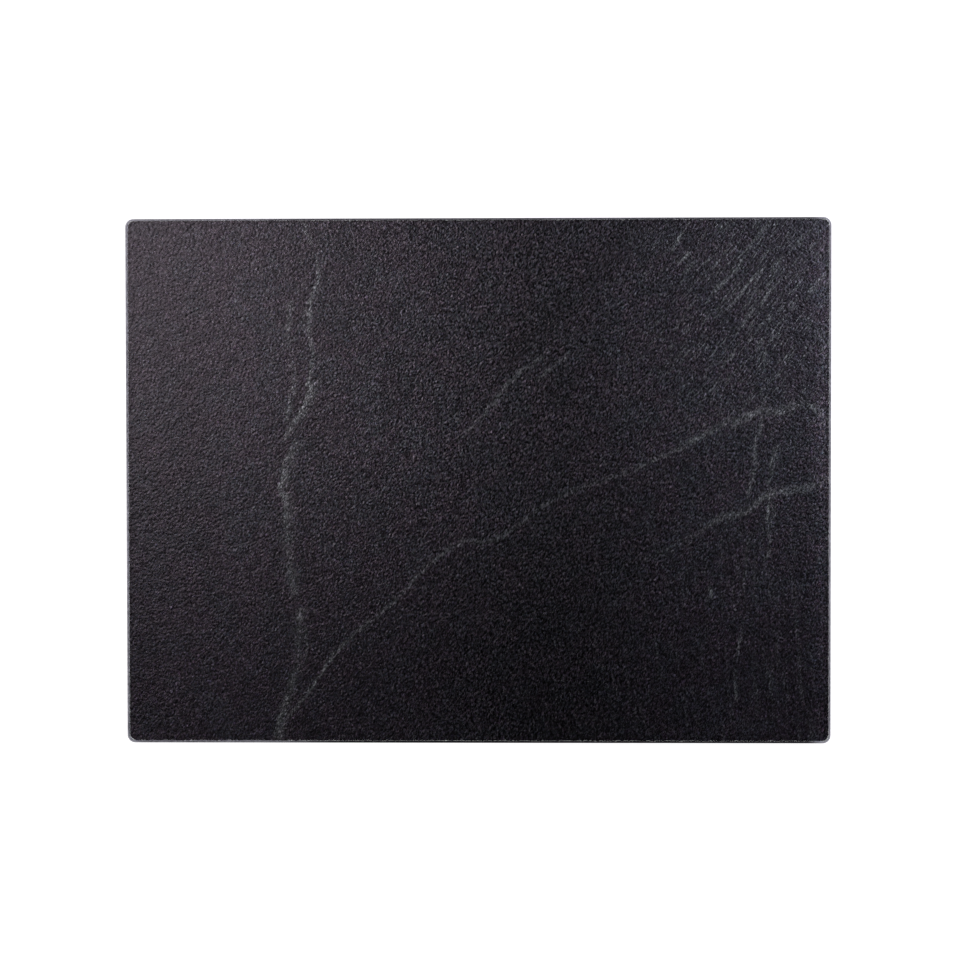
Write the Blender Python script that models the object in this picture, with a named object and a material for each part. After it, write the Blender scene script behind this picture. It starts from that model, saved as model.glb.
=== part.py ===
"""Glass cutting board: a pane of tempered glass, a slate print and a sealing coat on its back, four stick-on feet.

Metres, +Z up. The origin is on the surface that the board stands on, under the middle of the pane. +X runs along
the long side.
"""

import bmesh
import bpy

# Glass pane
BOARD_LENGTH = 0.400
BOARD_WIDTH = 0.298
GLASS_THICKNESS = 0.005
CORNER_RADIUS = 0.0045
TOP_EDGE_RADIUS = 0.0010
BOTTOM_EDGE_RADIUS = 0.0010

# Print on the back of the glass, and the coat that seals it
PRINT_THICKNESS = 0.0002
PRINT_MARGIN = 0.0003
COAT_THICKNESS = 0.0003
COAT_MARGIN = 0.0004

# Feet, each on a disc of double-sided tape
FOOT_HEIGHT = 0.0024
FOOT_DIAMETER = 0.012
FOOT_TIP_DIAMETER = 0.0104
FOOT_EDGE_RADIUS = 0.0005
FOOT_INSET = 0.022
TAPE_THICKNESS = 0.0003
TAPE_MARGIN = 0.0004

# Clearance between two layers that are bonded to each other
BOND_LINE = 0.00005

# Facets
CORNER_FACETS = 8
EDGE_FACETS = 4
ROUND_FACETS = 40

# Heights of the undersides, from the floor up
TAPE_BASE = FOOT_HEIGHT + BOND_LINE
COAT_BASE = TAPE_BASE + TAPE_THICKNESS + BOND_LINE
PRINT_BASE = COAT_BASE + COAT_THICKNESS + BOND_LINE
GLASS_BASE = PRINT_BASE + PRINT_THICKNESS + BOND_LINE

# Distances in from the pane's edge
PRINT_INSET = BOTTOM_EDGE_RADIUS + PRINT_MARGIN
COAT_INSET = PRINT_INSET + COAT_MARGIN

# Smooth shading ends at edges sharper than this, in radians
SHARP_ANGLE = 0.6

# Points whose heights differ by less than this are level
LEVEL = 0.00001


def clear_scene():
    """Removes every object that the file opened with."""
    for item in list(bpy.data.objects):
        bpy.data.objects.remove(item, do_unlink=True)


def finish(name, colour, roughness):
    """Makes a plain, non-metallic Principled material."""
    material = bpy.data.materials.new(name)
    material.use_nodes = True
    shader = material.node_tree.nodes["Principled BSDF"]
    shader.inputs["Base Color"].default_value = (*colour, 1.0)
    shader.inputs["Roughness"].default_value = roughness
    shader.inputs["Metallic"].default_value = 0.0
    return material


def loop_edges(shape, height):
    """The edges of a shape that lie at one height."""
    return [
        edge for edge in shape.edges
        if all(abs(vert.co.z - height) < LEVEL for vert in edge.verts)
    ]


def round_over(shape, edges, radius, facets):
    """Rounds edges of a shape with an arc of that radius."""
    bmesh.ops.bevel(
        shape, geom=edges, offset=radius, offset_type="OFFSET", segments=facets,
        profile=0.5, affect="EDGES", clamp_overlap=False,
    )


def plate(inset, thickness):
    """A flat rectangle with round corners, set in from the pane's edge, with its underside at height 0."""
    shape = bmesh.new()
    bmesh.ops.create_cube(shape, size=1.0)
    length = BOARD_LENGTH - 2 * inset
    width = BOARD_WIDTH - 2 * inset
    bmesh.ops.scale(shape, vec=(length, width, thickness), verts=shape.verts)
    bmesh.ops.translate(shape, vec=(0, 0, thickness / 2), verts=shape.verts)
    uprights = [
        edge for edge in shape.edges
        if abs(edge.verts[0].co.z - edge.verts[1].co.z) > thickness / 2
    ]
    round_over(shape, uprights, CORNER_RADIUS - inset, CORNER_FACETS)
    return shape


def disc(lower_diameter, upper_diameter, height):
    """A round disc, tapered if its diameters differ, with its underside at height 0."""
    shape = bmesh.new()
    bmesh.ops.create_cone(
        shape, cap_ends=True, segments=ROUND_FACETS, depth=height,
        radius1=lower_diameter / 2, radius2=upper_diameter / 2,
    )
    bmesh.ops.translate(shape, vec=(0, 0, height / 2), verts=shape.verts)
    return shape


def add_piece(name, shape, material, location, parent):
    """Turns a shape into a named object under its parent."""
    mesh = bpy.data.meshes.new(name)
    shape.to_mesh(mesh)
    shape.free()
    mesh.shade_smooth()
    mesh.set_sharp_from_angle(angle=SHARP_ANGLE)
    mesh.materials.append(material)
    piece = bpy.data.objects.new(name, mesh)
    piece.location = location
    piece.parent = parent
    bpy.context.scene.collection.objects.link(piece)
    return piece


def add_pane(parent):
    """The glass, with its top and bottom edges ground round."""
    shape = plate(0.0, GLASS_THICKNESS)
    round_over(shape, loop_edges(shape, GLASS_THICKNESS), TOP_EDGE_RADIUS, EDGE_FACETS)
    round_over(shape, loop_edges(shape, 0.0), BOTTOM_EDGE_RADIUS, EDGE_FACETS)
    glass = finish("clear_glass", (0.82, 0.90, 0.87), 0.08)
    add_piece("glass_pane", shape, glass, (0, 0, GLASS_BASE), parent)


def add_back_layers(parent):
    """The slate print under the glass, and the coat that covers and seals it."""
    slate = finish("slate_print", (0.030, 0.028, 0.034), 0.55)
    charcoal = finish("charcoal_coat", (0.045, 0.045, 0.050), 0.65)
    add_piece("decor_print", plate(PRINT_INSET, PRINT_THICKNESS), slate, (0, 0, PRINT_BASE), parent)
    add_piece("backing_coat", plate(COAT_INSET, COAT_THICKNESS), charcoal, (0, 0, COAT_BASE), parent)


def add_feet(parent):
    """Four soft feet near the corners, each held by a disc of tape."""
    silicone = finish("milky_silicone", (0.66, 0.67, 0.66), 0.45)
    tape = finish("foot_tape", (0.80, 0.80, 0.76), 0.60)
    reach_x = BOARD_LENGTH / 2 - FOOT_INSET
    reach_y = BOARD_WIDTH / 2 - FOOT_INSET
    tape_diameter = FOOT_DIAMETER - 2 * TAPE_MARGIN
    corners = ((-1, -1), (1, -1), (1, 1), (-1, 1))
    for number, (side_x, side_y) in enumerate(corners, start=1):
        stand = bpy.data.objects.new(f"foot_place_{number}", None)
        stand.location = (side_x * reach_x, side_y * reach_y, 0)
        stand.parent = parent
        bpy.context.scene.collection.objects.link(stand)
        foot = disc(FOOT_TIP_DIAMETER, FOOT_DIAMETER, FOOT_HEIGHT)
        round_over(foot, loop_edges(foot, 0.0), FOOT_EDGE_RADIUS, EDGE_FACETS)
        add_piece(f"foot_{number}", foot, silicone, (0, 0, 0), stand)
        pad = disc(tape_diameter, tape_diameter, TAPE_THICKNESS)
        add_piece(f"foot_tape_{number}", pad, tape, (0, 0, TAPE_BASE), stand)


def main():
    """Builds the board under one empty at its origin."""
    clear_scene()
    board = bpy.data.objects.new("cutting_board", None)
    bpy.context.scene.collection.objects.link(board)
    add_pane(board)
    add_back_layers(board)
    add_feet(board)


main()
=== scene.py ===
"""Looks of the glass cutting board: a pebbled pane over a slate print, a sealing coat and four soft feet.

Places and sizes are in metres, in the frame's axes: +X along the long side, +Z up through the cutting face.
The slate pattern is laid out in millimetres from the middle of the board.
"""

import logging
import math
from collections.abc import Callable, Sequence
from dataclasses import dataclass
from enum import Enum

import bpy
import numpy as np
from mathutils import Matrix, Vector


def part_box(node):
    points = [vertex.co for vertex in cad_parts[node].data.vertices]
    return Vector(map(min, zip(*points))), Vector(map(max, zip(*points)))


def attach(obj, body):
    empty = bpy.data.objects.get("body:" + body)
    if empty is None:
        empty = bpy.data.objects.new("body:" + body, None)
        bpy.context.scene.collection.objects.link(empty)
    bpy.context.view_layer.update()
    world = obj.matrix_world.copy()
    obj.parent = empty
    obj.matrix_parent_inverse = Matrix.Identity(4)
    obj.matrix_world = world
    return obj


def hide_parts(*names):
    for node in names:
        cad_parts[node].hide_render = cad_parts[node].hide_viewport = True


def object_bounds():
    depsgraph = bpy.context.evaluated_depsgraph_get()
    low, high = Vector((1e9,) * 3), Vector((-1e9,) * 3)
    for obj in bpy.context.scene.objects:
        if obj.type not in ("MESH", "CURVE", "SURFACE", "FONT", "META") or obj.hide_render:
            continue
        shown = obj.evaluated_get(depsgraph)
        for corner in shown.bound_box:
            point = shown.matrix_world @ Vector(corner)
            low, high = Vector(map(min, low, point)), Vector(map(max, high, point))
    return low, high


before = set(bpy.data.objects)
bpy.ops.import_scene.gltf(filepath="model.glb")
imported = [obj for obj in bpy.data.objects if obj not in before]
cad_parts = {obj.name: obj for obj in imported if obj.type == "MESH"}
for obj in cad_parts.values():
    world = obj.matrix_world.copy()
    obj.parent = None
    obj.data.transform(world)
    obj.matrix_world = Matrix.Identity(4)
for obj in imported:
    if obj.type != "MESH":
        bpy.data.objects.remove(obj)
CAD_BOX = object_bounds()

log = logging.getLogger("cutting_board")

BODY = "root"
BAKE_MAP = "OFBake"
MM = 1000.0

Point = tuple[float, float]
Colour = tuple[float, float, float]
Operator = Callable[["Signal", "Signal | float"], "Signal"]


def both_ways(operation: str) -> tuple[Operator, Operator]:
    """Makes a Math node's operation an operator on signals.

    Args:
        operation: the node's operation.

    Returns:
        The operator and its reflected form, which takes a number on its left.
    """

    def forward(self: "Signal", other: "Signal | float") -> "Signal":
        """The operation on this value and another."""
        return self.canvas.math(operation, self, other)

    def reflected(self: "Signal", other: float) -> "Signal":
        """The operation on a number and this value."""
        return self.canvas.math(operation, other, self)

    return forward, reflected


class Signal:
    """A socket's value in a node tree; Python's operators add Math nodes to that tree."""

    def __init__(self, canvas: "Canvas", socket: bpy.types.NodeSocket) -> None:
        """Wraps an output socket of a canvas."""
        self.canvas = canvas
        self.socket = socket

    __add__, __radd__ = both_ways("ADD")
    __sub__, __rsub__ = both_ways("SUBTRACT")
    __mul__, __rmul__ = both_ways("MULTIPLY")
    __truediv__, __rtruediv__ = both_ways("DIVIDE")
    __pow__, __rpow__ = both_ways("POWER")

    def __neg__(self) -> "Signal":
        """This value with its sign turned."""
        return self.canvas.math("MULTIPLY", self, -1.0)

    def __abs__(self) -> "Signal":
        """This value without its sign."""
        return self.canvas.math("ABSOLUTE", self)

    def most(self, other: "Signal | float") -> "Signal":
        """The larger of this value and another."""
        return self.canvas.math("MAXIMUM", self, other)

    def bell(self) -> "Signal":
        """A soft peak: 1 where this value is 0, falling away on both sides."""
        return self.canvas.math("EXPONENT", -(self * self))

    def rise(self, low: float, high: float) -> "Signal":
        """A smooth step from 0 at one value to 1 at another, which may be the lower one.

        Args:
            low: where the step is still 0.
            high: where the step has reached 1.

        Returns:
            The step.
        """
        step = {"interpolation_type": "SMOOTHSTEP"}
        return self.canvas.node("MapRange", step, {"Value": self, "From Min": low, "From Max": high})


class Canvas:
    """A node tree that a finish is drawn on."""

    def __init__(self, tree: bpy.types.NodeTree) -> None:
        """Takes a tree and empties it."""
        self.tree = tree
        tree.nodes.clear()

    @classmethod
    def of_material(cls, name: str) -> tuple["Canvas", bpy.types.Material]:
        """A new material of that name and the canvas that draws it."""
        material = bpy.data.materials.new(name)
        material.use_nodes = True
        return cls(material.node_tree), material

    def node(
        self,
        kind: str,
        settings: dict[str, object] | None = None,
        sockets: dict[str | int, object] | None = None,
        output: str | int = 0,
    ) -> Signal:
        """Adds a node.

        Args:
            kind: the node's type, without Blender's leading word.
            settings: its properties, set first; "points" fills a curve.
            sockets: a value or a signal for each input, by name or number.
            output: which output to return.

        Returns:
            That output.
        """
        made = self.tree.nodes.new("ShaderNode" + kind)
        for name, value in (settings or {}).items():
            if name == "points":
                self._fill_curve(made.mapping, value)
            else:
                setattr(made, name, value)
        for key, value in (sockets or {}).items():
            if isinstance(value, Signal):
                self.tree.links.new(value.socket, made.inputs[key])
            elif made.inputs[key].type == "RGBA":
                made.inputs[key].default_value = (*value, 1.0)
            else:
                made.inputs[key].default_value = value
        return Signal(self, made.outputs[output])

    @staticmethod
    def _fill_curve(mapping: bpy.types.CurveMapping, points: Sequence[Point]) -> None:
        """Lays a curve through points, the first and last of which replace its own two ends."""
        curve = mapping.curves[0]
        for place, value in points[1:-1]:
            curve.points.new(place, value)
        curve.points[0].location = points[0]
        curve.points[len(points) - 1].location = points[-1]
        mapping.update()

    def math(self, operation: str, first: Signal | float, second: Signal | float = 0.0) -> Signal:
        """One Math node on two values."""
        return self.node("Math", {"operation": operation}, {0: first, 1: second})

    def vector(self, operation: str, first: object, second: object) -> Signal:
        """One Vector Math node on two vectors or colours."""
        return self.node("VectorMath", {"operation": operation}, {0: first, 1: second})

    def scaled(self, vector: Signal, factor: Signal | float) -> Signal:
        """A vector or colour times a value."""
        return self.node("VectorMath", {"operation": "SCALE"}, {0: vector, "Scale": factor})

    def blend(self, share: Signal | float, first: object, second: object) -> Signal:
        """A colour between two others, the second where share is 1."""
        return self.node("Mix", {"data_type": "RGBA"}, {0: share, 6: first, 7: second}, 2)

    def split(self, vector: Signal) -> tuple[Signal, Signal, Signal]:
        """The three parts of a vector."""
        parts = self.node("SeparateXYZ", None, {0: vector})
        outputs = parts.socket.node.outputs
        return Signal(self, outputs[0]), Signal(self, outputs[1]), Signal(self, outputs[2])

    def dot(self, first: Signal, second: tuple[float, float, float]) -> Signal:
        """How far a vector reaches along another."""
        return self.node("VectorMath", {"operation": "DOT_PRODUCT"}, {0: first, 1: second}, "Value")

    def turned(self, flat: Signal, angle: float) -> Signal:
        """Flat coordinates whose x runs at an angle to the long side, in degrees."""
        sockets = {"Vector": flat, "Angle": -math.radians(angle)}
        return self.node("VectorRotate", {"rotation_type": "Z_AXIS"}, sockets)

    def tilted(self, place: Signal) -> Signal:
        """A place turned askew, so that a flat face cuts a noise at a slant and its lattice doesn't show."""
        sockets = {"Vector": place, "Axis": (0.8, -0.5, 0.6), "Angle": 0.7}
        return self.node("VectorRotate", {"rotation_type": "AXIS_ANGLE"}, sockets)

    def noise(
        self,
        place: Signal,
        size: float,
        detail: float = 2.0,
        keep: float = 0.5,
        output: str = "Fac",
        stir: float = 0.0,
    ) -> Signal:
        """Soft noise around 0.5.

        Args:
            place: coordinates.
            size: the width of its lumps, in the coordinates' units.
            detail: how many finer layers it has.
            keep: how strong each finer layer is beside the one before.
            output: Fac for a value or Color for three independent ones.
            stir: how far it is bent out of its lattice.

        Returns:
            The noise.
        """
        sockets = {"Vector": place, "Scale": 1.0 / size, "Detail": detail, "Roughness": keep}
        sockets["Distortion"] = stir
        return self.node("TexNoise", None, sockets, output)

    def flat(self) -> Signal:
        """The object's own coordinates, in millimetres."""
        return self.scaled(self.node("TexCoord", output="Object"), MM)

    def rays(self, *kinds: str) -> Signal:
        """1 for rays of any of these kinds and 0 for all others."""
        found = self.node("LightPath", output=kinds[0])
        for kind in kinds[1:]:
            found = found.most(self.node("LightPath", output=kind))
        return found

    def finish(self, surface: Signal, kind: str = "OutputMaterial") -> None:
        """Makes a shader the surface of the material or the world."""
        last = self.tree.nodes.new("ShaderNode" + kind)
        self.tree.links.new(surface.socket, last.inputs["Surface"])

    def finish_principled(self, sockets: dict[str, object]) -> None:
        """Makes a Principled shader with these sockets the surface of the material."""
        self.finish(self.node("BsdfPrincipled", None, sockets))


@dataclass(frozen=True)
class Grain:
    """Fine specks that lean with the slate, in millimetres.

    Attributes:
        lean: the angle of their long way to the long side, in degrees.
        length: how long they are.
        width: how wide they are.
        peak: how far the bright ones stand out.
        level: brings the whole to about 1.
    """

    lean: float = 66.0
    length: float = 1.25
    width: float = 0.65
    peak: float = 3.4
    level: float = 0.815

    def draw(self, canvas: Canvas, flat: Signal) -> Signal:
        """How bright each speck is, the same at every height of the board."""
        squeeze = (1.0 / self.length, 1.0 / self.width, 0.0)
        pressed = canvas.vector("MULTIPLY", canvas.turned(flat, self.lean), squeeze)
        lump = 2.0 * canvas.noise(canvas.tilted(pressed), 1.0, 0.0, stir=0.5)
        return self.level * lump ** self.peak


class Run(Enum):
    """Which way a vein mostly runs, so which coordinate its curve is read along."""

    ACROSS = "across"
    DOWN = "down"


@dataclass(frozen=True)
class Vein:
    """A pale mineral vein in the slate, through points in millimetres from the board's middle.

    Attributes:
        run: whether the points go by x or by y.
        path: the points, in rising order of that coordinate.
        under: how far it fades out towards smaller coordinates.
        over: how far it fades out towards larger ones.
        levels: how pale it is along its length, as (share of the length, level) pairs.
    """

    run: Run
    path: tuple[Point, ...]
    under: float
    over: float
    levels: tuple[Point, ...]

    REACH = 200.0

    def offset(self, canvas: Canvas, x: Signal, y: Signal) -> tuple[Signal, Signal]:
        """Finds a place on the vein.

        Args:
            canvas: where to draw.
            x: the place's x in millimetres.
            y: the place's y in millimetres.

        Returns:
            The distance to the vein's line, with its sign, and the share of its length, 0 to 1.
        """
        across = self.run is Run.ACROSS
        along, aside = (x, y) if across else (y, x)
        steps = [point if across else point[::-1] for point in self.path]
        first, last = steps[0][0], steps[-1][0]
        share = (along - first) / (last - first)
        line = [((a - first) / (last - first), (b + self.REACH) / (2 * self.REACH)) for a, b in steps]
        height = canvas.node("FloatCurve", {"points": line}, {"Value": share})
        return aside - (height * (2 * self.REACH) - self.REACH), share

    def draw(self, canvas: Canvas, place: Signal) -> Signal:
        """How pale the vein is at a place in millimetres."""
        x, y, _ = canvas.split(place)
        offset, share = self.offset(canvas, x, y)
        width = self.under + (self.over - self.under) * offset.rise(-0.4, 0.4)
        level = canvas.node("FloatCurve", {"points": self.levels}, {"Value": share})
        ends = share.rise(-0.05, 0.02) * share.rise(1.05, 0.98)
        return (offset / width).bell() * level * ends


@dataclass(frozen=True)
class Streak:
    """A short straight scratch of pale mineral, in millimetres from the board's middle.

    Attributes:
        start: one end.
        end: the other end.
        width: how far it fades out to either side.
        level: how pale it is.
    """

    start: Point
    end: Point
    width: float
    level: float

    TAPER = 2.5

    def draw(self, canvas: Canvas, place: Signal) -> Signal:
        """How pale the scratch is at a place in millimetres."""
        length = math.dist(self.start, self.end)
        run_x = (self.end[0] - self.start[0]) / length
        run_y = (self.end[1] - self.start[1]) / length
        away = canvas.vector("SUBTRACT", place, (*self.start, 0.0))
        along = canvas.dot(away, (run_x, run_y, 0.0))
        aside = canvas.dot(away, (-run_y, run_x, 0.0))
        body = along.rise(-self.TAPER, self.TAPER) * along.rise(length + self.TAPER, length - self.TAPER)
        return (aside / self.width).bell() * body * self.level


LEFT_VEINS = (
    Vein(
        Run.DOWN,
        ((-96, 58), (-94, 71), (-96, 85), (-95, 101), (-90, 119), (-94, 132), (-99, 148)),
        1.0, 1.3,
        (
            (0.0, 0.85), (0.2, 0.7), (0.35, 0.95), (0.5, 1.0), (0.68, 0.75), (0.8, 0.45), (0.95, 0.8),
            (1.0, 0.7),
        ),
    ),
    Vein(Run.DOWN, ((-99, 86), (-98, 98), (-95, 104)), 0.9, 0.9, ((0.0, 0.3), (0.5, 0.55), (1.0, 0.5))),
    Vein(
        Run.DOWN, ((-110, 23), (-107, 31), (-102, 38), (-97, 47), (-96, 58)), 1.1, 3.6,
        ((0.0, 0.3), (0.2, 0.75), (0.5, 0.95), (0.75, 0.95), (1.0, 0.7)),
    ),
    Vein(
        Run.DOWN, ((-109, 35), (-106, 48), (-104, 57), (-106, 72), (-108, 88), (-105, 103)), 1.6, 1.6,
        ((0.0, 0.4), (0.25, 0.65), (0.45, 0.3), (0.65, 0.4), (0.8, 0.9), (1.0, 0.35)),
    ),
    Vein(
        Run.DOWN,
        ((-108, -33), (-110, -24), (-110, -12), (-112, -6), (-111, 6), (-109, 13), (-104, 22)),
        1.1, 4.0,
        ((0.0, 0.4), (0.2, 0.6), (0.4, 0.9), (0.6, 1.0), (0.8, 0.9), (1.0, 0.5)),
    ),
    Vein(
        Run.DOWN, ((-104, -66), (-105, -57), (-108, -42), (-108, -30)), 3.2, 2.2,
        ((0.0, 0.2), (0.3, 0.4), (0.7, 0.32), (1.0, 0.35)),
    ),
    Vein(
        Run.DOWN,
        ((-114, -146), (-112, -135), (-107, -117), (-103, -104), (-103, -92), (-102, -80), (-101, -73)),
        2.2, 3.0,
        ((0.0, 0.6), (0.2, 0.5), (0.45, 0.35), (0.6, 0.2), (0.85, 0.25), (0.95, 0.6), (1.0, 0.5)),
    ),
    Vein(Run.DOWN, ((-99, -104), (-98, -92), (-99, -80)), 0.8, 0.8, ((0.0, 0.35), (0.5, 0.4), (1.0, 0.3))),
)
LONG_VEIN = Vein(
    Run.ACROSS,
    (
        (-109, -136), (-102, -127), (-96, -120), (-84, -102), (-72, -89), (-50, -71), (-29, -49), (-8, -35),
        (8, -34), (43, -11), (95, 9), (141, 33),
    ),
    1.3, 1.9,
    (
        (0.0, 0.4), (0.05, 0.5), (0.1, 0.55), (0.17, 0.4), (0.25, 0.36), (0.4, 0.32), (0.5, 0.22), (0.7, 0.2),
        (0.83, 0.32), (0.92, 0.6), (1.0, 0.55),
    ),
)
OTHER_VEINS = (
    Vein(
        Run.ACROSS, ((145, 31), (151, 35), (158, 38), (172, 39), (184, 43), (196, 37)), 1.8, 2.6,
        ((0.0, 0.6), (0.2, 0.8), (0.5, 0.75), (0.75, 0.45), (0.95, 0.8), (1.0, 0.6)),
    ),
    Vein(
        Run.ACROSS, ((-11, 25), (1, 35), (11, 48), (20, 58), (32, 67), (42, 75)), 1.6, 1.6,
        ((0.0, 0.15), (0.25, 0.38), (0.6, 0.45), (0.85, 0.3), (1.0, 0.15)),
    ),
    Vein(Run.ACROSS, ((-1, 27), (5, 38), (13, 48)), 1.3, 1.3, ((0.0, 0.15), (0.6, 0.35), (1.0, 0.25))),
    Vein(Run.ACROSS, ((33, 57), (43, 65), (52, 73)), 1.6, 1.6, ((0.0, 0.15), (0.5, 0.36), (1.0, 0.2))),
    Vein(
        Run.ACROSS,
        ((92, -46), (120, -34), (137, -22), (153, -17), (164, -9), (185, -5), (198, -1)),
        1.8, 2.6,
        ((0.0, 0.06), (0.3, 0.15), (0.5, 0.5), (0.68, 0.65), (0.78, 0.45), (0.9, 0.5), (1.0, 0.35)),
    ),
    Vein(
        Run.DOWN, ((153, -8), (157, 8), (157, 18), (160, 30), (163, 50)), 1.1, 1.1,
        ((0.0, 0.5), (0.3, 0.55), (0.65, 0.6), (1.0, 0.15)),
    ),
    Vein(
        Run.DOWN,
        ((164, -43), (166, -33), (165, -27), (168, -19), (165, -2), (168, 9), (170, 20)),
        1.0, 1.0,
        ((0.0, 0.6), (0.2, 0.3), (0.35, 0.5), (0.5, 0.3), (0.7, 0.4), (1.0, 0.35)),
    ),
)
STREAKS = (
    Streak((164, 146), (153, 131), 0.9, 0.7),
    Streak((153, 129), (147, 121), 0.8, 0.6),
    Streak((147, 120), (134, 107), 1.1, 0.85),
    Streak((156, 115), (141, 97), 0.8, 0.6),
    Streak((167, 110), (160, 99), 0.8, 1.15),
    Streak((157, 98), (150, 87), 0.9, 0.7),
    Streak((120, 129), (114, 123), 0.9, 0.9),
    Streak((123, 124), (118, 118), 0.9, 0.8),
    Streak((116, 140), (110, 130), 0.8, 0.8),
    Streak((173, 127), (166, 118), 0.8, 0.8),
    Streak((192, 146), (181, 133), 0.8, 0.6),
    Streak((199, 119), (186, 106), 0.8, 0.8),
    Streak((166, 93), (164, 85), 0.8, 0.8),
    Streak((163, 74), (162, 65), 0.8, 0.6),
    Streak((168, 19), (166, 7), 0.8, 0.8),
    Streak((166, -4), (164, -24), 0.8, 0.8),
    Streak((158, -13), (165, -8), 0.9, 0.9),
    Streak((154, -30), (151, -60), 0.8, 0.25),
    Streak((132, -60), (133, -67), 0.9, 0.45),
    Streak((149, -87), (147, -102), 0.9, 0.3),
    Streak((146, -108), (147, -125), 0.9, 0.28),
)


@dataclass(frozen=True)
class SlatePrint:
    """The print's finish: near-black slate with fine grain, slanting streaks and pale broken veins, with
    painted light and shade laid over it.

    Attributes:
        warm: the slate's colour in its reddish patches.
        cool: its colour in its bluish patches.
        vein: what a vein of level 1 adds to it.
        slant: the streaks' angle to the long side, in degrees.
        shade: how much of its colour the slate keeps along the lower side, as painted shade that darkens it
            towards the bottom.
        upper: how much of it the slate keeps along the upper side, where the painted shade ends.
        cloud: the width of its lighter and darker clouds, in millimetres.
        patch: the width of its reddish and bluish patches.
        dot: the width of its coloured dots.
        shake: how far a vein wanders from its line.
        wobble: how far a scratch does.
        crumb: the length of a vein's bright and faint bits.
    """

    warm: Colour = (0.0247, 0.0203, 0.0250)
    cool: Colour = (0.0198, 0.0209, 0.0245)
    vein: Colour = (0.067, 0.075, 0.070)
    slant: float = 53.0
    shade: Colour = (0.38, 0.35, 0.405)
    upper: Colour = (0.86, 0.86, 0.86)
    cloud: float = 40.0
    patch: float = 14.0
    dot: float = 1.8
    shake: float = 6.0
    wobble: float = 2.0
    crumb: float = 3.6

    def material(self) -> bpy.types.Material:
        """Draws the print, with its painted light and shade, in the object's own coordinates."""
        canvas, material = Canvas.of_material("slate_print")
        flat = canvas.flat()
        grain = Grain().draw(canvas, flat)
        pale = self._veins(canvas, flat) + self._streaks(canvas, flat)
        crumbs = 0.3 + 0.7 * grain
        stone = self._stone(canvas, flat, grain)
        colour = canvas.vector("ADD", stone, canvas.scaled(self.vein, pale * crumbs))
        sockets = {"Base Color": colour, "Roughness": 0.6, "Specular IOR Level": 0.0}
        canvas.finish_principled(sockets)
        return material

    def _stone(self, canvas: Canvas, flat: Signal, grain: Signal) -> Signal:
        """The slate without its veins, with painted light and shade laid over it.

        Args:
            canvas: where to draw.
            flat: coordinates in millimetres.
            grain: how bright each speck is, about 1 on the whole.

        Returns:
            A colour.
        """
        x, y, _ = canvas.split(flat)
        cloud = canvas.noise(flat, self.cloud, 3.0)
        step, _ = LONG_VEIN.offset(canvas, x, y)
        above = step.rise(-5.0, 5.0) * x.rise(-115.0, -80.0)
        band = ((y - x - 53.0) / 9.0).bell() * x.rise(0.0, 25.0) * x.rise(110.0, 85.0)
        # painted shade in the middle, between the two lamps' sheens; painted light at the left, the lower
        # left and the right end, strongest towards the top
        middle = ((x - 45.0) / 62.0).bell()
        side = ((x + 132.0) / 22.0).bell()
        painted_light_lower_left = x.rise(-120.0, -190.0) * y.rise(-10.0, -110.0)
        painted_light_right_end = x.rise(186.0, 202.0) * (1.3 + y.rise(-35.0, 15.0))
        painted_light_and_shade = 1.0 - 0.48 * middle + 0.35 * side + 0.5 * painted_light_lower_left + painted_light_right_end
        tone_and_painted_light = (1.0 + 0.16 * above) * (0.7 + 0.6 * cloud) * (1.0 - 0.4 * band)
        tone_and_painted_light = tone_and_painted_light * painted_light_and_shade * (1.0 - 0.3 * self._corner(x, y))
        # painted shade: the slate darkens towards the bottom, away from the lamps above
        height = canvas.blend(y.rise(-130.0, 60.0), self.shade, self.upper)
        patch = canvas.noise(flat, self.patch, 3.0).rise(0.38, 0.62)
        dots = canvas.noise(flat, self.dot, 1.0, 0.5, "Color")
        stone = canvas.blend(patch, self.warm, self.cool)
        tints = canvas.vector("ADD", canvas.scaled(dots, 0.7), (0.65, 0.65, 0.65))
        dotted = canvas.vector("MULTIPLY", stone, tints)
        return canvas.scaled(canvas.vector("MULTIPLY", dotted, height), tone_and_painted_light * grain)

    def _along(self, canvas: Canvas, flat: Signal, angle: float, length: float, width: float) -> Signal:
        """Noise drawn out into streaks.

        Args:
            canvas: where to draw.
            flat: coordinates in millimetres.
            angle: the streaks' angle to the long side, in degrees.
            length: their length in millimetres.
            width: their width in millimetres.

        Returns:
            The noise.
        """
        squeeze = (1.0 / length, 1.0 / width, 1.0)
        return canvas.noise(canvas.vector("MULTIPLY", canvas.turned(flat, angle), squeeze), 1.0, 2.0)

    @staticmethod
    def _corner(x: Signal, y: Signal) -> Signal:
        """How far a place is into the streaked upper right."""
        return x.rise(65.0, 155.0) * y.rise(5.0, 85.0)

    def _streaks(self, canvas: Canvas, flat: Signal) -> Signal:
        """How pale the fine streaks are: slanting at the upper right, upright at the lower right."""
        x, y, _ = canvas.split(flat)
        slanting = self._along(canvas, flat, self.slant, 10.0, 1.0).rise(0.52, 0.7) * self._corner(x, y)
        foot = x.rise(20.0, 130.0) * y.rise(0.0, -60.0)
        upright = self._along(canvas, flat, 95.0, 26.0, 2.6).rise(0.5, 0.8) * foot
        return 0.8 * slanting + 0.15 * upright

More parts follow.
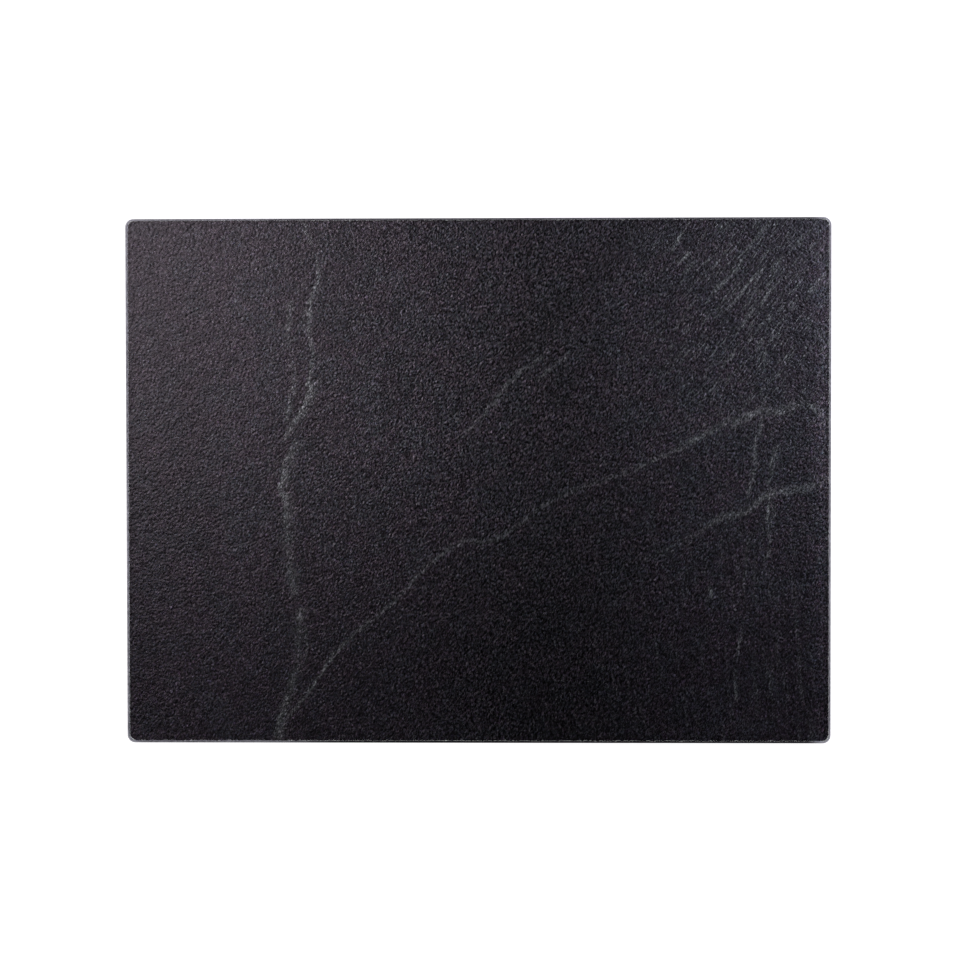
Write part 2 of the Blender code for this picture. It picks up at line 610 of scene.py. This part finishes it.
    def _veins(self, canvas: Canvas, flat: Signal) -> Signal:
        """How pale the veins and scratches are, with ragged edges."""
        shake = canvas.vector("SUBTRACT", canvas.noise(flat, 4.0, 4.0, 0.65, "Color"), (0.5, 0.5, 0.5))
        bent = canvas.vector("ADD", flat, canvas.scaled(shake, self.shake))
        ragged = canvas.vector("ADD", flat, canvas.scaled(shake, self.wobble))
        pale = LONG_VEIN.draw(canvas, bent)
        for vein in (*LEFT_VEINS, *OTHER_VEINS):
            pale = pale.most(vein.draw(canvas, bent))
        for streak in STREAKS:
            pale = pale.most(streak.draw(canvas, ragged))
        bits = canvas.noise(flat, self.crumb, 3.0, 0.75).rise(0.34, 0.62)
        return pale * (0.2 + 1.35 * bits)


@dataclass(frozen=True)
class PebbledGlass:
    """Clear glass with a satin top: it bends what is behind it and mirrors softly, with painted specks of
    light and shade in its shine.

    Attributes:
        tint: what the glass lets through.
        index: how strongly it bends light.
        gloss: the roughness of its shine.
        clarity: the roughness of what shows through.
        ripple: the width of the finest lumps, in millimetres.
        relief: the height of those lumps.
        pits: how far the shine is dimmed and brightened in painted specks everywhere, as painted shade and
            glints of the relief.
        more_pits: how much stronger the painted specks are round one place.
        pits_place: how far right of the middle that is, in millimetres.
        pits_reach: how far it fades out to either side, in millimetres.
    """

    tint: Colour = (0.96, 0.98, 0.97)
    index: float = 1.5
    gloss: float = 0.415
    clarity: float = 0.04
    ripple: float = 1.25
    relief: float = 0.0002
    pits: float = 0.2
    more_pits: float = 0.6
    pits_place: float = 30.0
    pits_reach: float = 110.0

    def material(self) -> bpy.types.Material:
        """Mixes a bending and a mirroring shader by the angle of view and by painted specks of light and
        shade, and lets lamps through.
        """
        canvas, material = Canvas.of_material("pebbled_glass_and_painted_specks")
        flat = canvas.flat()
        fine = canvas.noise(canvas.tilted(flat), self.ripple, 0.0)
        bump = canvas.node("Bump", None, {"Strength": 1.0, "Distance": self.relief, "Height": fine})
        bend = canvas.node(
            "BsdfRefraction",
            None,
            {"Color": self.tint, "Roughness": self.clarity, "IOR": self.index, "Normal": bump},
        )
        shine = canvas.node(
            "BsdfAnisotropic",
            {"distribution": "BECKMANN"},
            {"Color": (1.0, 1.0, 1.0), "Roughness": self.gloss, "Normal": bump},
        )
        x, _, _ = canvas.split(flat)
        # painted shade and glints of the relief: the shine follows the slate's specks, most a little right of
        # the board's middle
        painted_speck_share = self.pits + self.more_pits * ((x - self.pits_place) / self.pits_reach).bell()
        specks = 1.0 - painted_speck_share + painted_speck_share * Grain().draw(canvas, flat)
        share = canvas.node("Fresnel", None, {"IOR": self.index}) * specks
        glass = canvas.node("MixShader", None, {0: share, 1: bend, 2: shine})
        open_way = canvas.node("BsdfTransparent", None, {"Color": self.tint})
        shadow = canvas.rays("Is Shadow Ray")
        canvas.finish(canvas.node("MixShader", None, {0: shadow, 1: glass, 2: open_way}))
        return material


@dataclass(frozen=True)
class GroundEdge:
    """The pane's ground edge: the same glass, finely ground, with painted light on its short sides, its left
    end and its upper side and painted highlights at its corners.

    Attributes:
        dull: its colour where it is ground least and no painted light falls.
        frosted_and_lit: its colour where its frost and the painted light are strongest.
        end_painted_light: how much painted light the two short sides take.
        left_painted_light: how much painted light the left end of the long sides takes.
        upper_painted_light: how much painted light the upper long side takes.
    """

    dull: Colour = (0.012, 0.012, 0.014)
    frosted_and_lit: Colour = (0.40, 0.405, 0.44)
    end_painted_light: float = 0.74
    left_painted_light: float = 0.53
    upper_painted_light: float = 0.22

    def material(self) -> bpy.types.Material:
        """Draws the edge, with its painted light and highlights, in the object's own coordinates."""
        canvas, material = Canvas.of_material("ground_edge_and_painted_light")
        flat = canvas.flat()
        x, y, _ = canvas.split(flat)
        # painted highlights: the corners take the full pale colour
        corner = abs(x).rise(186.0, 198.0) * abs(y).rise(135.0, 147.0)
        scallop = canvas.noise(flat, 1.6, 1.0).rise(0.3, 0.7)
        cloud = canvas.noise(flat, 45.0, 2.0).rise(0.35, 0.65)
        # painted light on the short sides, the left end and the upper side; the lower side stays dark
        ends = (self.end_painted_light * abs(x).rise(190.0, 196.0)).most(self.left_painted_light * x.rise(-70.0, -140.0))
        side = ends.most(self.upper_painted_light * y.rise(0.0, 140.0))
        share = (side * (0.5 + 0.6 * scallop + 0.4 * cloud)).most(corner)
        bump = canvas.node("Bump", None, {"Strength": 0.4, "Distance": 0.0001, "Height": scallop})
        sockets = {
            "Base Color": canvas.blend(share, self.dull, self.frosted_and_lit),
            "Roughness": 0.5 - 0.15 * scallop,
            "Specular IOR Level": 0.1,
            "Normal": bump,
        }
        canvas.finish_principled(sockets)
        return material


@dataclass(frozen=True)
class CharcoalCoat:
    """The matt coat that seals the print from behind, with a rolled surface.

    Attributes:
        colour: the coat's own colour.
        worn: its colour where it is thin.
    """

    colour: Colour = (0.040, 0.040, 0.044)
    worn: Colour = (0.053, 0.053, 0.057)

    def material(self) -> bpy.types.Material:
        """Draws the coat in the object's own coordinates."""
        canvas, material = Canvas.of_material("charcoal_coat")
        flat = canvas.flat()
        rolled = canvas.noise(canvas.vector("MULTIPLY", flat, (1.0 / 40.0, 1.0, 0.0)), 6.0, 2.0)
        peel = canvas.noise(flat, 1.1, 2.0)
        colour = canvas.blend(rolled.rise(0.35, 0.75), self.colour, self.worn)
        bump = canvas.node("Bump", None, {"Strength": 0.25, "Distance": 0.0002, "Height": peel})
        rough = 0.52 + 0.16 * peel
        sockets = {"Base Color": colour, "Roughness": rough, "Normal": bump}
        canvas.finish_principled(sockets)
        return material


@dataclass(frozen=True)
class MilkySilicone:
    """Soft, milky silicone of the feet.

    Attributes:
        colour: the silicone's own colour.
        dusty: its colour where dust clings to it.
    """

    colour: Colour = (0.66, 0.67, 0.66)
    dusty: Colour = (0.58, 0.57, 0.54)

    def material(self) -> bpy.types.Material:
        """Draws the silicone in the object's own coordinates."""
        canvas, material = Canvas.of_material("milky_silicone")
        flat = canvas.flat()
        dust = canvas.noise(flat, 1.8, 4.0).rise(0.45, 0.75)
        skin = canvas.noise(flat, 0.25, 2.0)
        colour = canvas.blend(dust * 0.6, self.colour, self.dusty)
        bump = canvas.node("Bump", None, {"Strength": 0.12, "Distance": 0.0001, "Height": skin})
        sockets = {
            "Base Color": colour,
            "Roughness": 0.38 + 0.2 * dust,
            "Normal": bump,
            "Subsurface Weight": 0.35,
            "Subsurface Radius": (0.003, 0.003, 0.003),
            "Subsurface Scale": 0.5,
        }
        canvas.finish_principled(sockets)
        return material


@dataclass(frozen=True)
class PaleTape:
    """Pale double-sided foam tape under each foot.

    Attributes:
        colour: the tape's own colour.
        pore: the colour of its pores.
    """

    colour: Colour = (0.80, 0.80, 0.76)
    pore: Colour = (0.62, 0.62, 0.58)

    def material(self) -> bpy.types.Material:
        """Draws the tape in the object's own coordinates."""
        canvas, material = Canvas.of_material("foot_tape")
        flat = canvas.flat()
        pores = canvas.noise(flat, 0.3, 2.0).rise(0.5, 0.65)
        bump = canvas.node("Bump", None, {"Strength": 0.3, "Distance": 0.0001, "Height": pores})
        colour = canvas.blend(pores, self.colour, self.pore)
        sockets = {"Base Color": colour, "Roughness": 0.62 + 0.1 * pores, "Normal": bump}
        canvas.finish_principled(sockets)
        return material


@dataclass(frozen=True)
class Outline:
    """A rectangle with round corners about the board's middle, cut into a lattice that follows its rim.

    Attributes:
        half_length: half its size along X.
        half_width: half its size along Y.
        corner_radius: the radius of its corners.
        cell: the lattice's pitch.
    """

    half_length: float
    half_width: float
    corner_radius: float
    cell: float

    def _line(self, half: float, inset: float) -> np.ndarray:
        """The lattice's places along one axis."""
        core = half - self.corner_radius
        radius = self.corner_radius - inset
        arm = np.linspace(0.0, radius, max(2, round(self.corner_radius / self.cell)) + 1)
        middle = np.linspace(-core, core, max(1, round(2 * core / self.cell)) + 1)
        return np.concatenate((-core - arm[:0:-1], middle, core + arm[1:]))

    def lattice(self, inset: float) -> tuple[np.ndarray, np.ndarray]:
        """The lattice over the outline, drawn in by inset.

        Args:
            inset: how far inside the outline it ends.

        Returns:
            The x and the y of its points, each as rows along Y and columns along X.
        """
        x, y = np.meshgrid(self._line(self.half_length, inset), self._line(self.half_width, inset))
        radius = self.corner_radius - inset
        core_x = self.half_length - self.corner_radius
        core_y = self.half_width - self.corner_radius
        a = np.maximum(np.abs(x) - core_x, 0.0) / radius
        b = np.maximum(np.abs(y) - core_y, 0.0) / radius
        reach = np.maximum(a, b)
        share = np.minimum(a, b) / np.maximum(reach, 1e-12)
        turn = np.where(a >= b, share, 2.0 - share) * math.pi / 4
        corner = (a > 0) & (b > 0)
        round_x = np.sign(x) * (core_x + radius * reach * np.cos(turn))
        round_y = np.sign(y) * (core_y + radius * reach * np.sin(turn))
        return np.where(corner, round_x, x), np.where(corner, round_y, y)

    @staticmethod
    def rim(grid: np.ndarray) -> np.ndarray:
        """The values on a lattice's border, once round anticlockwise from its lower left."""
        return np.concatenate((grid[0, :-1], grid[:-1, -1], grid[-1, :0:-1], grid[:0:-1, 0]))

    def ring(self, inset: float) -> tuple[np.ndarray, np.ndarray]:
        """The x and the y of the lattice's border, drawn in by inset."""
        x, y = self.lattice(inset)
        return self.rim(x), self.rim(y)


def arc(start: float, end: float, steps: int) -> list[Point]:
    """Cosines and sines from one angle to another, in degrees, ends included."""
    turns = np.radians(np.linspace(start, end, steps + 1))
    return [(float(np.cos(t)), float(np.sin(t))) for t in turns]


def round_edge(radius: float, low: float, high: float, steps: int) -> list[Point]:
    """A plate's edge, rounded above and below.

    Args:
        radius: how far it is rounded.
        low: the plate's underside.
        high: its top.
        steps: facets round each edge.

    Returns:
        Pairs of inset and height, from the top down.
    """
    upper = [(radius * (1 - c), high - radius * (1 - s)) for c, s in arc(90, 0, steps)]
    under = [(radius * (1 - c), low + radius * (1 + s)) for c, s in arc(0, -90, steps)]
    return upper + under


def read(items: bpy.types.bpy_prop_collection, name: str, width: int = 3) -> np.ndarray:
    """One property of all of a mesh's points, faces or corners, with so many numbers each."""
    found = np.empty(len(items) * width, dtype=np.int32 if width == 1 else np.float32)
    items.foreach_get(name, found)
    return found


def lay_bake_map(mesh: bpy.types.Mesh, up: bool) -> None:
    """Lays a flat piece's map for baking: the main face over most of it, the rim along its lower side.

    Args:
        mesh: the piece's mesh.
        up: whether the main face looks up or down.
    """
    strip, gap = 0.03, 0.01
    places = read(mesh.vertices, "co").reshape(-1, 3)
    upright = read(mesh.polygons, "normal")[2::3] * (1.0 if up else -1.0)
    counts = read(mesh.polygons, "loop_total", 1)
    corners = read(mesh.loops, "vertex_index", 1)
    main = np.repeat(upright > 0.7, counts)
    low, high = places.min(axis=0), places.max(axis=0)
    share = (places[corners] - low) / (high - low)
    turn = (np.arctan2(places[:, 1], places[:, 0]) / (2 * math.pi) + 0.5)[corners]
    first = np.repeat(turn[np.cumsum(counts) - counts], counts)
    turn = np.clip(turn - np.round(turn - first), 0.0, 1.0)
    u = np.where(main, gap + (1 - 2 * gap) * share[:, 0], turn)
    v = np.where(main, strip + gap + (1 - strip - 2 * gap) * share[:, 1], strip * share[:, 2])
    mesh.uv_layers.new(name=BAKE_MAP).uv.foreach_set("vector", np.stack((u, v), axis=1).ravel())


class MeshPlan:
    """Collects points and faces, then makes one object of them."""

    def __init__(self) -> None:
        """Starts empty."""
        self.points: list[np.ndarray] = []
        self.faces: list[tuple[tuple[int, ...], int, bool]] = []
        self.count = 0

    def add_points(self, x: np.ndarray, y: np.ndarray, z: np.ndarray | float) -> np.ndarray:
        """Adds points.

        Args:
            x: their x.
            y: their y.
            z: their z, or one height for all.

        Returns:
            Their numbers, in the shape that x has.
        """
        z = np.broadcast_to(z, x.shape)
        self.points.append(np.stack((x.ravel(), y.ravel(), z.ravel()), axis=1))
        numbers = np.arange(self.count, self.count + x.size).reshape(x.shape)
        self.count += x.size
        return numbers

    def add_lattice(self, numbers: np.ndarray, slot: int) -> None:
        """Fills a lattice of points with four-sided faces that look up."""
        corners = (numbers[:-1, :-1], numbers[:-1, 1:], numbers[1:, 1:], numbers[1:, :-1])
        quads = np.stack([c.ravel() for c in corners], axis=1).tolist()
        self.faces += [(tuple(quad), slot, True) for quad in quads]

    def add_band(self, upper: np.ndarray, lower: np.ndarray, slot: int) -> None:
        """Joins two closed rings of points, the first of which lies above or inside the second."""
        quads = np.stack((upper, lower, np.roll(lower, -1), np.roll(upper, -1)), axis=1).tolist()
        self.faces += [(tuple(quad), slot, True) for quad in quads]

    def add_cap(self, ring: np.ndarray, slot: int, up: bool) -> None:
        """Closes a ring with one flat face that looks up or down."""
        order = ring if up else ring[::-1]
        self.faces.append((tuple(order.tolist()), slot, False))

    def add_stack(self, rings: Sequence[tuple[np.ndarray, np.ndarray, float]]) -> None:
        """Makes a closed solid of level rings, each with its x, its y and its height, from the top down."""
        numbers = [self.add_points(x, y, z) for x, y, z in rings]
        self.add_cap(numbers[0], 0, up=True)
        for upper, lower in zip(numbers, numbers[1:]):
            self.add_band(upper, lower, 0)
        self.add_cap(numbers[-1], 0, up=False)

    def make(
        self, name: str, materials: Sequence[bpy.types.Material], up: bool | None = None
    ) -> bpy.types.Object:
        """Makes the object.

        Args:
            name: its name.
            materials: its finishes, in the order of their slots.
            up: for a flat piece, whether its main face looks up; None lays no map for baking.

        Returns:
            The object, in the scene.
        """
        mesh = bpy.data.meshes.new(name)
        mesh.from_pydata(np.concatenate(self.points).tolist(), [], [face[0] for face in self.faces])
        mesh.polygons.foreach_set("material_index", [face[1] for face in self.faces])
        mesh.polygons.foreach_set("use_smooth", [face[2] for face in self.faces])
        for material in materials:
            mesh.materials.append(material)
        mesh.update()
        if up is not None:
            lay_bake_map(mesh, up)
        piece = bpy.data.objects.new(name, mesh)
        bpy.context.scene.collection.objects.link(piece)
        return piece


def settle(piece: bpy.types.Object, node: str) -> None:
    """Puts a piece in the place of a CAD node and on the board's body.

    Args:
        piece: the piece.
        node: the node that it stands for.
    """
    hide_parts(node)
    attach(piece, BODY)
    log.info("%s stands for %s: %d faces", piece.name, node, len(piece.data.polygons))


@dataclass(frozen=True)
class Pebbles:
    """The rolled relief of the pane's top: rounded lumps on slow waves.

    Attributes:
        width: from one lump to the next.
        spread: how much that width varies, as a share of it.
        flatness: how far the tops and the hollows are flattened.
        height: from the hollows to the tops of the lumps.
        wave_width: from one wave to the next.
        wave_height: from the troughs to the tops of the waves.
        bare: how far from the rim the relief reaches its full height.
        seed: picks one layout of the relief.
    """

    width: float = 0.0024
    spread: float = 0.34
    flatness: float = 0.8
    height: float = 0.00015
    wave_width: float = 0.009
    wave_height: float = 0.00008
    bare: float = 0.0010
    seed: int = 11

    @property
    def middle(self) -> float:
        """How far the relief's mean level lies below its tops."""
        return (self.height + self.wave_height) / 2

    def depth(self, x: np.ndarray, y: np.ndarray, outline: Outline, inset: float) -> np.ndarray:
        """How far each lattice point lies below the tops of the relief.

        Args:
            x: the points' x.
            y: the points' y.
            outline: the pane's outline.
            inset: how far inside it the top ends.

        Returns:
            Depths in metres.
        """
        noise = np.random.default_rng(self.seed).standard_normal(x.shape)
        lumps = self._rolled(noise, outline.cell, self.width) * self.height
        waves = self._rolled(noise, outline.cell, self.wave_width) * self.wave_height
        gap_x = outline.half_length - inset - np.abs(x)
        gap_y = outline.half_width - inset - np.abs(y)
        fade = np.clip(np.minimum(gap_x, gap_y) / self.bare, 0.0, 1.0)
        return self.middle - (lumps + waves) * fade / 2

    def _rolled(self, noise: np.ndarray, cell: float, width: float) -> np.ndarray:
        """Rounds noise into lumps of about one width, from -1 in the hollows to 1 on the tops.

        Args:
            noise: white noise on the lattice.
            cell: the lattice's pitch.
            width: from one lump to the next.

        Returns:
            The lumps on the lattice.
        """
        rows, columns = noise.shape
        across, along = np.meshgrid(np.fft.fftfreq(columns, cell), np.fft.fftfreq(rows, cell))
        pitch = np.hypot(across, along) * width
        band = np.exp(-(((pitch - 1.0) / self.spread) ** 2))
        lumps = np.fft.ifft2(np.fft.fft2(noise) * band).real
        return np.tanh(lumps / lumps.std() * self.flatness)


@dataclass
class GlassPane:
    """The pane of tempered glass.

    Attributes:
        corner_radius: the radius of its corners.
        edge_radius: how far its edges are ground round, top and bottom.
        cell: the pitch of the lattice that carries the relief.
        edge_steps: facets round each edge.
        pebbles: the relief of its top.
    """

    corner_radius: float = 0.0045
    edge_radius: float = 0.0010
    cell: float = 0.00075
    edge_steps: int = 6
    pebbles: Pebbles = Pebbles()

    def build(self) -> bpy.types.Object:
        """Models the pane where its CAD node is."""
        low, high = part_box("glass_pane")
        outline = Outline(high.x, high.y, self.corner_radius, self.cell)
        plan = MeshPlan()
        x, y = outline.lattice(self.edge_radius)
        top = plan.add_points(x, y, high.z - self.pebbles.depth(x, y, outline, self.edge_radius))
        plan.add_lattice(top, 0)
        ring = outline.rim(top)
        middle = high.z - self.pebbles.middle
        for inset, height in round_edge(self.edge_radius, low.z, middle, self.edge_steps)[1:]:
            lower = plan.add_points(*outline.ring(inset), height)
            plan.add_band(ring, lower, 1)
            ring = lower
        plan.add_cap(ring, 0, up=False)
        return plan.make("pebbled_pane", (PebbledGlass().material(), GroundEdge().material()), up=True)

    def dress(self, piece: bpy.types.Object) -> None:
        """Hangs the pane in the frame."""
        settle(piece, "glass_pane")


@dataclass
class BackLayer:
    """A thin layer on the back of the glass, cut to the pane's shape.

    Attributes:
        name: the piece's name.
        node: the CAD node that it stands for.
        slot: the record's slot of its finish; it is not used.
        pane_radius: the radius of the pane's corners, which its own follow.
        sunk: how far its top goes into the glass, so that no air is between them.
        spread: how far it reaches past its CAD outline.
        up: whether the face that shows looks up or down.
        edge: how far its edges are rounded.
        cell: the pitch of its rim's points.
        edge_steps: facets round each edge.
    """

    name: str
    node: str
    slot: str
    pane_radius: float
    sunk: float = 0.0
    spread: float = 0.0
    up: bool = False
    edge: float = 0.00006
    cell: float = 0.004
    edge_steps: int = 3

    def build(self, material: bpy.types.Material) -> bpy.types.Object:
        """Models the layer where its CAD node is."""
        low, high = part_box(self.node)
        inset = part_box("glass_pane")[1].x - high.x - self.spread
        outline = Outline(high.x + self.spread, high.y + self.spread, self.pane_radius - inset, self.cell)
        profile = round_edge(self.edge, low.z, high.z + self.sunk, self.edge_steps)
        plan = MeshPlan()
        plan.add_stack([(*outline.ring(inset), height) for inset, height in profile])
        return plan.make(self.name, (material,), self.up)

    def dress(self, piece: bpy.types.Object) -> None:
        """Hangs the layer in the frame."""
        settle(piece, self.node)


@dataclass
class Foot:
    """One soft foot and the disc of tape that holds it.

    Attributes:
        number: which foot it is.
        edge_radius: how far its lower edge is rounded.
        dimple_radius: the radius of the hollow in its underside.
        dimple_depth: the depth of that hollow.
        lip: the height of the straight band under its top.
        step: how far it steps in below that band.
        edge: how far its top is rounded.
        tape_edge: how far its tape is rounded.
        tip_share: the width of its lower end beside that of its upper end.
        facets: facets once round.
        edge_steps: facets across each rounding.
    """

    number: int
    edge_radius: float = 0.0005
    dimple_radius: float = 0.0022
    dimple_depth: float = 0.0003
    lip: float = 0.0004
    step: float = 0.0002
    edge: float = 0.0001
    tape_edge: float = 0.00008
    tip_share: float = 0.867
    facets: int = 72
    edge_steps: int = 5

    def _turn(
        self, name: str, node: str, profile: Sequence[Point], material: bpy.types.Material
    ) -> bpy.types.Object:
        """Turns a profile about a node's upright middle line.

        Args:
            name: the piece's name.
            node: the CAD node that it stands for.
            profile: pairs of radius and height, from the top's rim down to the underside's middle.
            material: its finish.

        Returns:
            The piece.
        """
        low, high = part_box(node)
        middle = (low + high) / 2
        turns = np.linspace(0.0, 2 * math.pi, self.facets, endpoint=False)
        around = (np.cos(turns), np.sin(turns))
        plan = MeshPlan()
        plan.add_stack([(middle.x + r * around[0], middle.y + r * around[1], z) for r, z in profile])
        return plan.make(name, (material,))

    def build_foot(self, material: bpy.types.Material) -> bpy.types.Object:
        """Models the foot where its CAD node is."""
        low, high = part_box(f"foot_{self.number}")
        wide = (high.x - low.x) / 2
        tip = wide * self.tip_share
        below = high.z - self.lip
        profile = [(wide - self.edge, high.z), (wide, high.z - self.edge), (wide, below)]
        profile += [(wide - self.step, below - self.step)]
        for c, s in arc(0, -90, self.edge_steps):
            profile += [(tip - self.edge_radius * (1 - c), low.z + self.edge_radius * (1 + s))]
        for c, s in arc(0, 80, self.edge_steps):
            profile += [(self.dimple_radius * c, low.z + self.dimple_depth * s)]
        return self._turn(f"soft_foot_{self.number}", f"foot_{self.number}", profile, material)

    def build_tape(self, material: bpy.types.Material) -> bpy.types.Object:
        """Models the disc of tape where its CAD node is."""
        low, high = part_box(f"foot_tape_{self.number}")
        wide = (high.x - low.x) / 2
        edge = self.tape_edge
        profile = [(wide - edge, high.z), (wide, high.z - edge), (wide, low.z + edge), (wide - edge, low.z)]
        return self._turn(f"tape_disc_{self.number}", f"foot_tape_{self.number}", profile, material)

    def dress(self, foot: bpy.types.Object, tape: bpy.types.Object) -> None:
        """Hangs the foot and its tape in the frame."""
        settle(foot, f"foot_{self.number}")
        settle(tape, f"foot_tape_{self.number}")


@dataclass(frozen=True)
class Lamp:
    """A small soft lamp that hangs face down.

    Attributes:
        name: the lamp's name.
        place: where it hangs.
        size: its width and its length.
        glow: how bright its face is from straight below; a white wall in full light is 1.
        colour: the colour of its light.
    """

    name: str
    place: tuple[float, float, float]
    size: Point
    glow: float
    colour: Colour

    def hang(self) -> None:
        """Adds the lamp to the scene."""
        data = bpy.data.lights.new(self.name, "AREA")
        data.shape = "RECTANGLE"
        data.size, data.size_y = self.size
        data.color = self.colour
        data.energy = self.glow * math.pi * self.size[0] * self.size[1]
        lamp = bpy.data.objects.new(self.name, data)
        lamp.location = self.place
        bpy.context.scene.collection.objects.link(lamp)
        log.info("%s hangs at %s", self.name, self.place)


@dataclass(frozen=True)
class Studio:
    """A pale floor, soft lamps and a camera that looks straight down.

    Attributes:
        floor_side: the floor's size.
        floor_gap: how far it lies below the feet.
        floor_grey: its own colour.
        floor_glow: the white that the camera and mirrors see on it.
        wall_light: how bright the walls are.
        wall_fade: the height, as a sine, where the ceiling is dark and where the walls are white.
        camera_place: where the camera hangs.
        camera_turn: its turn from straight down, in degrees.
        lens: its focal length in millimetres.
        lamps: the lamps.
    """

    floor_side: float = 12.0
    floor_gap: float = 0.00005
    floor_grey: float = 0.55
    floor_glow: float = 0.88
    wall_light: float = 0.75
    wall_fade: Point = (0.88, 0.66)
    camera_place: tuple[float, float, float] = (0.0366, 0.0386, 1.507)
    camera_turn: tuple[float, float, float] = (-1.452, 1.344, -0.081)
    lens: float = 99.15
    lamps: tuple[Lamp, ...] = (
        Lamp("left_box", (-0.454, 0.265, 0.9), (0.1, 0.1), 68.0, (1.0, 0.835, 0.98)),
        Lamp("right_box", (0.666, 0.351, 0.9), (0.07, 0.14), 121.0, (0.80, 0.755, 1.0)),
    )

    def build(self) -> None:
        """Sets up everything that isn't part of the board."""
        bpy.context.scene.view_settings.view_transform = "Standard"
        self._floor()
        self._world()
        self._camera()
        for lamp in self.lamps:
            lamp.hang()

    def _floor(self) -> None:
        """A pale floor under the feet, which can't be seen from below and doesn't shade the underside."""
        half = self.floor_side / 2
        mesh = bpy.data.meshes.new("floor")
        level = CAD_BOX[0].z - self.floor_gap
        corners = [(-half, -half, level), (half, -half, level), (half, half, level), (-half, half, level)]
        mesh.from_pydata(corners, [], [(0, 1, 2, 3)])
        canvas, material = Canvas.of_material("pale_floor")
        diffuse = canvas.node("BsdfDiffuse", None, {"Color": (self.floor_grey,) * 3})
        seen = canvas.rays("Is Camera Ray", "Is Glossy Ray", "Is Transmission Ray")
        white = {"Color": (1.0, 1.0, 1.0), "Strength": seen * self.floor_glow}
        glow = canvas.node("Emission", None, white)
        lit = canvas.node("AddShader", None, {0: diffuse, 1: glow})
        back = canvas.node("NewGeometry", output="Backfacing")
        passed = back.most(canvas.rays("Is Diffuse Ray", "Is Shadow Ray"))
        clear = canvas.node("BsdfTransparent")
        canvas.finish(canvas.node("MixShader", None, {0: passed, 1: lit, 2: clear}))
        material.cycles.emission_sampling = "NONE"
        mesh.materials.append(material)
        floor = bpy.data.objects.new("floor", mesh)
        bpy.context.scene.collection.objects.link(floor)

    def _world(self) -> None:
        """White walls round a dark ceiling; the camera sees white all round."""
        world = bpy.data.worlds.new("studio")
        bpy.context.scene.world = world
        world.use_nodes = True
        canvas = Canvas(world.node_tree)
        direction = canvas.node("TexCoord", output="Generated")
        _, _, height = canvas.split(direction)
        wall = height.rise(*self.wall_fade)
        ceiling = canvas.blend(wall, (0.0, 0.0, 0.0), (1.0, 1.0, 1.0))
        room = canvas.node("Background", None, {"Color": ceiling, "Strength": self.wall_light})
        white = canvas.node("Background", None, {"Color": (1.0, 1.0, 1.0), "Strength": 1.0})
        seen = canvas.rays("Is Camera Ray", "Is Transmission Ray")
        both = canvas.node("MixShader", None, {0: seen, 1: room, 2: white})
        canvas.finish(both, "OutputWorld")

    def _camera(self) -> None:
        """The camera of the photograph's view."""
        data = bpy.data.cameras.new("camera")
        data.lens = self.lens
        camera = bpy.data.objects.new("camera", data)
        camera.location = self.camera_place
        camera.rotation_euler = [math.radians(turn) for turn in self.camera_turn]
        bpy.context.scene.collection.objects.link(camera)
        bpy.context.scene.camera = camera


def write_sizes() -> None:
    """Brings the scene's placements up to date."""
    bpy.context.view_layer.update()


def main() -> None:
    """Builds the board piece by piece, then the studio round it."""
    logging.basicConfig(level=logging.INFO, format="%(name)s: %(message)s")
    pane = GlassPane()
    pane.dress(pane.build())
    radius = pane.corner_radius
    slate = BackLayer(
        "slate_layer", "decor_print", "slate_print", radius, sunk=0.00008, spread=0.00028, up=True
    )
    coat = BackLayer("sealing_coat", "backing_coat", "charcoal_coat", radius)
    for layer, finish in ((slate, SlatePrint()), (coat, CharcoalCoat())):
        layer.dress(layer.build(finish.material()))
    silicone = MilkySilicone().material()
    tape = PaleTape().material()
    for number in range(1, 5):
        foot = Foot(number)
        foot.dress(foot.build_foot(silicone), foot.build_tape(tape))
    Studio().build()
    write_sizes()


if __name__ == "__main__":
    main()
